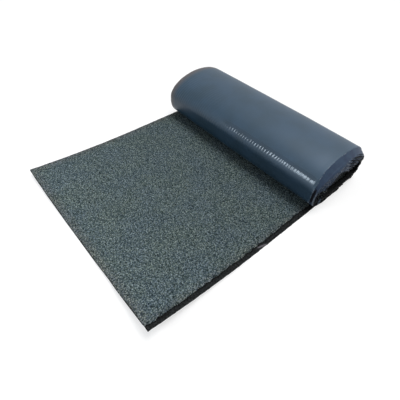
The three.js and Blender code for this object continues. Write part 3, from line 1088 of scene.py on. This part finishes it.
def film_colour(tree, place, across, dark, light, pale_tone, haze_mm):
    haze = add(tree, "ShaderNodeTexNoise", {"Vector": place, "Scale": 1 / haze_mm, "Detail": 4.0},
               noise_dimensions="2D")
    clear = add(tree, "ShaderNodeValToRGB", {0: haze.outputs[0]}, stops=[(0.35, dark), (0.65, light)])
    # Painted light: the film on the sheet is drawn paler towards the selvedge end.
    tone_and_painted_light = add(tree, "ShaderNodeMapRange", {0: across, 1: 0.0, 2: PAINTED_LIGHT_REACH_MM, 3: 0.2, 4: 0.0})
    film = add(tree, "ShaderNodeMix", {0: tone_and_painted_light.outputs[0], 6: clear.outputs[0], 7: linear(pale_tone)},
               data_type="RGBA")
    fray = add(tree, "ShaderNodeTexNoise", {"Vector": place, "Scale": 1 / FRAY_MM, "Detail": 4.0},
               noise_dimensions="2D")
    shift = add(tree, "ShaderNodeMapRange", {0: fray.outputs[0], 3: -5.0, 4: 5.0})
    from_edge = add(tree, "ShaderNodeMath", {0: across, 1: shift.outputs[0]}, operation="ADD")
    rim_start, rim_end = (SHEET_WIDTH / MM - from_far for from_far in BARE_RIM_MM)
    bare = add(tree, "ShaderNodeMapRange", {0: from_edge.outputs[0], 1: rim_start, 2: rim_end})
    body = add(tree, "ShaderNodeMix", {0: bare.outputs[0], 6: film.outputs[2], 7: linear("#4f4b4b")},
               data_type="RGBA")
    # Drawn pale by the value kept at the points: real whitening where the film is scuffed, worn and creased,
    # and painted light along the lip's edge, on the creases and on the crests of the long folds.
    crease = add(tree, "ShaderNodeAttribute", attribute_name="crease")
    broken = add(tree, "ShaderNodeMapRange", {0: fray.outputs[0], 1: 0.4, 2: 0.6, 4: 0.7})
    whitened = add(tree, "ShaderNodeMath", {0: crease.outputs["Fac"], 1: broken.outputs[0]},
                   operation="MULTIPLY")
    face = add(tree, "ShaderNodeMix", {0: whitened.outputs[0], 6: body.outputs[2], 7: linear("#acb6c0")},
               data_type="RGBA")
    return face.outputs[2]


print("the film gives out between", BARE_RIM_MM, "mm from the far edge, give or take its fraying")

# %% [markdown]
# Blown film is never quite smooth, so it takes up a broad, hazy shine from the pale room. Only where it is
# pulled tight, round the roll's front in the half towards the selvedge, is it glossy enough to mirror a
# lamp, and the last few centimetres before its edge are scuffed dull again. The roughness could be painted
# as a mask. Here it comes from how far along and across the sheet each spot lies, so it stays on the front
# of the roll.

# %% Shine of the film
FRONT_MM = arc_length(np.linspace(0, RIPPLED_TURNS, 500))[-1] / MM
TAUT_BELT_MM = 22.0
SCUFFED_MM = (20.0, 55.0)


def film_shine(tree, along, across, roughness, taut_roughness):
    from_front = add(tree, "ShaderNodeMath", {0: along, 1: FRONT_MM}, operation="SUBTRACT")
    tautness = add(tree, "ShaderNodeMath", {0: from_front.outputs[0], 1: TAUT_BELT_MM}, operation="DIVIDE")
    slack = add(tree, "ShaderNodeMath", {0: tautness.outputs[0], 1: 2.0}, operation="POWER")
    hanging = add(tree, "ShaderNodeMapRange", {
        0: from_front.outputs[0], 1: 0.0, 2: 35.0, 3: roughness, 4: roughness - 0.1},
        interpolation_type="SMOOTHSTEP")
    looser = add(tree, "ShaderNodeMapRange", {
        0: across, 1: 500.0, 2: 650.0, 3: taut_roughness, 4: roughness}, interpolation_type="SMOOTHSTEP")
    scuffed = add(tree, "ShaderNodeMapRange", {
        0: across, 1: SCUFFED_MM[0], 2: SCUFFED_MM[1], 3: 0.35, 4: 0.0})
    taut = add(tree, "ShaderNodeMath", {0: looser.outputs[0], 1: scuffed.outputs[0]}, operation="MAXIMUM")
    shine = add(tree, "ShaderNodeMapRange", {
        0: slack.outputs[0], 3: taut.outputs[0], 4: hanging.outputs[0]}, interpolation_type="SMOOTHSTEP")
    return shine.outputs[0]


print("the film is tightest", round(FRONT_MM), "mm along the sheet from where the roll begins")

# %% [markdown]
# Polyethylene has an index of refraction of 1.51. A fine bump, drawn out round the roll, stands for the
# lines that blowing and winding leave in the film: they are 6 mm apart across the sheet and 110 mm long.

# %% Film
FILM_IOR = 1.51
LINE_LENGTH_MM = 110
LINE_GAP_MM = 6


def film_finish(name, dark, light, pale_tone, haze_mm, roughness, taut_roughness, specular):
    material, tree = finish_tree(name)
    place, along, across = sheet_millimetres(tree)
    face = film_colour(tree, place, across, dark, light, pale_tone, haze_mm)
    shine = film_shine(tree, along, across, roughness, taut_roughness)
    stretched = add(tree, "ShaderNodeVectorMath", {0: place, 1: (1 / LINE_LENGTH_MM, 1 / LINE_GAP_MM, 0)},
                    operation="MULTIPLY")
    ripple = add(tree, "ShaderNodeTexNoise", {"Vector": stretched.outputs[0], "Scale": 1.0, "Detail": 2.0},
                 noise_dimensions="2D")
    bump = add(tree, "ShaderNodeBump", {"Height": ripple.outputs[0], "Distance": 0.4 * MM, "Strength": 0.5})
    shader = add(tree, "ShaderNodeBsdfPrincipled", {
        "Base Color": face, "Roughness": shine, "IOR": FILM_IOR, "Specular IOR Level": specular,
        "Specular Tint": linear("#e7f1fa"), "Normal": bump.outputs[0]})
    add(tree, "ShaderNodeOutputMaterial", {0: shader.outputs[0]})
    print(f"{material.name}: {len(tree.nodes)} nodes")
    return material


stuck_film = film_finish(
    "polyethylene_film_on_bitumen", "#1e3748", "#253f54", "#54687e",
    haze_mm=120, roughness=0.5, taut_roughness=0.1, specular=0.55)
loose_film = film_finish(
    "loose_polyethylene_film", "#2a3a50", "#33475c", "#484e64",
    haze_mm=30, roughness=0.5, taut_roughness=0.5, specular=0.2)

# %% [markdown]
# ### Smeared and shaded film
#
# Where the loose film has lain on the cut edges, soft bitumen and slate dust have stuck to it. This finish
# is near black and matt, and it is also painted shade, in the bottoms of the folds, in the crevice under the
# lip and deep in the roll's end. Pale specks of slate show below the long folds, but not in them. Each speck
# is one cell of a Voronoi pattern, and only the cells with the highest random values turn pale.

# %% Smeared and shaded film
SMEAR_MM = 9
SPECK_MM = 2.2
FAN_END_MM = arc_length(turns_at(np.linspace(FOLD[0, 0], FAN_END, 300)))[-1] / MM


def smear_and_shade_finish():
    material, tree = finish_tree("loose_film_smeared_and_shaded")
    place, along, across = sheet_millimetres(tree)
    smear = add(tree, "ShaderNodeTexNoise", {"Vector": place, "Scale": 1 / SMEAR_MM, "Detail": 4.0},
                noise_dimensions="2D")
    dust = add(tree, "ShaderNodeTexVoronoi", {"Vector": place, "Scale": 1 / SPECK_MM},
               voronoi_dimensions="2D")
    speck = add(tree, "ShaderNodeSeparateColor", {0: dust.outputs["Color"]})
    paleness = add(tree, "ShaderNodeMath", {0: speck.outputs[0], 1: smear.outputs[0]}, operation="ADD")
    # Near black: bitumen smear, and painted shade in the folds, under the lip and deep in the end.
    smeared = add(tree, "ShaderNodeValToRGB", {0: paleness.outputs[0]}, stops=[
        (0.5, "#050507"), (1.0, "#171920")])
    specks = add(tree, "ShaderNodeMapRange", {0: paleness.outputs[0], 1: 1.36, 2: 1.46})
    past_fan = add(tree, "ShaderNodeMapRange", {0: along, 1: FAN_END_MM - 15, 2: FAN_END_MM + 15})
    past_rim = add(tree, "ShaderNodeMapRange", {0: across, 1: -12.0, 2: -4.0, 3: 1.0, 4: 0.0})
    lower = add(tree, "ShaderNodeMath", {0: specks.outputs[0], 1: past_fan.outputs[0]},
                operation="MULTIPLY")
    spots = add(tree, "ShaderNodeMath", {0: lower.outputs[0], 1: past_rim.outputs[0]},
                operation="MULTIPLY")
    dirt = add(tree, "ShaderNodeMix", {0: spots.outputs[0], 6: smeared.outputs[0], 7: linear("#7b8580")},
               data_type="RGBA")
    shader = add(tree, "ShaderNodeBsdfPrincipled", {
        "Base Color": dirt.outputs[2], "Roughness": 0.8, "Specular IOR Level": 0.08})
    add(tree, "ShaderNodeOutputMaterial", {0: shader.outputs[0]})
    print(f"{material.name}: {len(tree.nodes)} nodes")
    return material


film_smeared_and_shaded = smear_and_shade_finish()

# %% [markdown]
# ## Make the pieces
#
# Each piece has a list of finishes, in the order of the slots that its faces name. The sheet's pieces need
# the film, the weather face and the cut edge. The faces that close a film's two ends are numbered as cut
# edges, so a film's list ends in film again.

# %% Make the pieces
sheet_finishes = [stuck_film, crushed_slate, cut_bitumen]
pieces = [
    laid_sheet(sheet_finishes),
    outer_turn(sheet_finishes),
    inner_turns(sheet_finishes),
    film_lip([stuck_film] * 3),
    film_strip([loose_film, film_smeared_and_shaded, loose_film]),
]
print(len(pieces), "pieces")

# %% [markdown]
# ## Studio
#
# Some of the light comes from a white room, brightest overhead and behind the roll, as in a light tent of
# white cloth. An environment image of a real studio could light the scene, but two strengths and a
# direction are enough. The camera and the reflections see plain white, whatever light the room sheds.

# %% World
SKY_DIRECTION = (0.6, 0.0, 0.8)


def seen_rays(tree):
    """One for camera, glossy and transmission rays, and zero for the rays that carry light."""
    path = add(tree, "ShaderNodeLightPath")
    seen = add(tree, "ShaderNodeMath", {0: path.outputs["Is Camera Ray"], 1: path.outputs["Is Glossy Ray"]},
               operation="MAXIMUM")
    return add(tree, "ShaderNodeMath", {0: seen.outputs[0], 1: path.outputs["Is Transmission Ray"]},
               operation="MAXIMUM").outputs[0]


def light_tent(low, high):
    """A white room. It sheds high from the sky's direction, down to low at right angles to it and beyond."""
    world = bpy.data.worlds.new("light_tent")
    world.use_nodes = True
    tree = world.node_tree
    tree.nodes.clear()
    direction = add(tree, "ShaderNodeTexCoord")
    facing = add(tree, "ShaderNodeVectorMath", {0: direction.outputs["Generated"], 1: SKY_DIRECTION},
                 operation="DOT_PRODUCT")
    shed = add(tree, "ShaderNodeMapRange", {0: facing.outputs["Value"], 1: 0.0, 2: 1.0, 3: low, 4: high})
    strength = add(tree, "ShaderNodeMix", {0: seen_rays(tree), 2: shed.outputs[0], 3: 1.0})
    background = add(tree, "ShaderNodeBackground", {
        "Color": linear("#ffffff"), "Strength": strength.outputs[0]})
    add(tree, "ShaderNodeOutputWorld", {0: background.outputs[0]})
    bpy.context.scene.world = world
    print(f"{world.name} sheds {high} from the sky's direction and {low} from the far side")


light_tent(low=0.02, high=0.5)

# %% [markdown]
# The floor is white paper, drawn as grey with a glow of its own for the camera and for reflections only. So
# it shows white and keeps a light shadow. A white one under more light would look the same, but it would
# throw a glare up under the roll.

# %% Floor
BELOW_THE_SHEET = 0.5 * MM


def paper_floor(reach, glow):
    mesh = bpy.data.meshes.new("floor")
    corners = [(-reach, -reach, 0), (reach, -reach, 0), (reach, reach, 0), (-reach, reach, 0)]
    mesh.from_pydata(corners, [], [(0, 1, 2, 3)])
    floor = bpy.data.objects.new("floor", mesh)
    floor.location.z = -BELOW_THE_SHEET
    bpy.context.scene.collection.objects.link(floor)
    material, tree = finish_tree("white_paper")
    strength = add(tree, "ShaderNodeMath", {0: seen_rays(tree), 1: glow}, operation="MULTIPLY")
    shader = add(tree, "ShaderNodeBsdfPrincipled", {
        "Base Color": linear("#a9a9a9"), "Roughness": 0.9, "Specular IOR Level": 0.0,
        "Emission Color": linear("#ffffff"), "Emission Strength": strength.outputs[0]})
    add(tree, "ShaderNodeOutputMaterial", {0: shader.outputs[0]})
    mesh.materials.append(material)
    floor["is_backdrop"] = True
    print(f"{floor.name} is {2 * reach} m square")


paper_floor(reach=12.0, glow=0.66)

# %% [markdown]
# Most of the light comes from a large soft key light almost straight above, tipped a little to the back of
# the roll, which shades the sheet along the roll's foot. A sun lamp 30 degrees wide does this evenly all
# along the sheet, where an area lamp would fall off. One upright box lamp, faintly blue, stands past the
# free end and draws the highlight along the film. Together with the room they light a level face at the
# strength where a colour shows as it was written.

# %% Lamps
def lamp(name, kind, place, target, **settings):
    data = bpy.data.lights.new(name, kind)
    for setting, value in settings.items():
        setattr(data, setting, value)
    piece = bpy.data.objects.new(name, data)
    piece.location = place
    piece.rotation_euler = (Vector(target) - Vector(place)).to_track_quat("-Z", "Y").to_euler()
    bpy.context.scene.collection.objects.link(piece)
    print(f"{name}: energy {data.energy:.2f}")


lamp("key_light", "SUN", (0.48, -0.1, 1.94), (0, 0, 0), energy=1.98, angle=math.radians(30))
lamp("highlight_lamp", "AREA", (-2.19, 0.48, 1.6), (0.24, -0.35, 0.15),
     shape="RECTANGLE", size=0.6, size_y=0.95, energy=18.5, color=(0.88, 0.95, 1.0))

# %% [markdown]
# ## Camera
#
# The camera stands at the selvedge side of the free end, a little above a metre high, and looks down across
# the sheet at the roll with a 29 mm lens. It could be aimed by a Track To constraint, but it is also tilted
# to one side by about two degrees, so its turn is worked out from three angles.

# %% Camera
CAMERA_PLACE = Vector((-0.7458, -0.8604, 1.0774))
YAW, PITCH_DOWN, BANK = 0.8399, 0.8352, 0.0324
LENS_MM = 28.62
NEAREST_SEEN = 10 * MM


def make_camera():
    data = bpy.data.cameras.new("camera")
    data.lens = LENS_MM
    data.clip_start = NEAREST_SEEN
    camera = bpy.data.objects.new("camera", data)
    level = math.cos(PITCH_DOWN)
    forward = Vector((math.cos(YAW) * level, math.sin(YAW) * level, -math.sin(PITCH_DOWN)))
    right = forward.cross(Vector((0, 0, 1))).normalized()
    up = right.cross(forward)
    turn = Matrix((right, up, -forward)).transposed().to_4x4() @ Matrix.Rotation(BANK, 4, "Z")
    camera.matrix_world = Matrix.Translation(CAMERA_PLACE) @ turn
    bpy.context.scene.collection.objects.link(camera)
    bpy.context.scene.camera = camera
    distance = (CAMERA_PLACE - Vector((ROLL_MIDDLE, NEAR_EDGE, 0))).length
    print(f"the camera is {distance:.2f} m from the near end")


make_camera()
bpy.context.scene.view_settings.view_transform = "Standard"
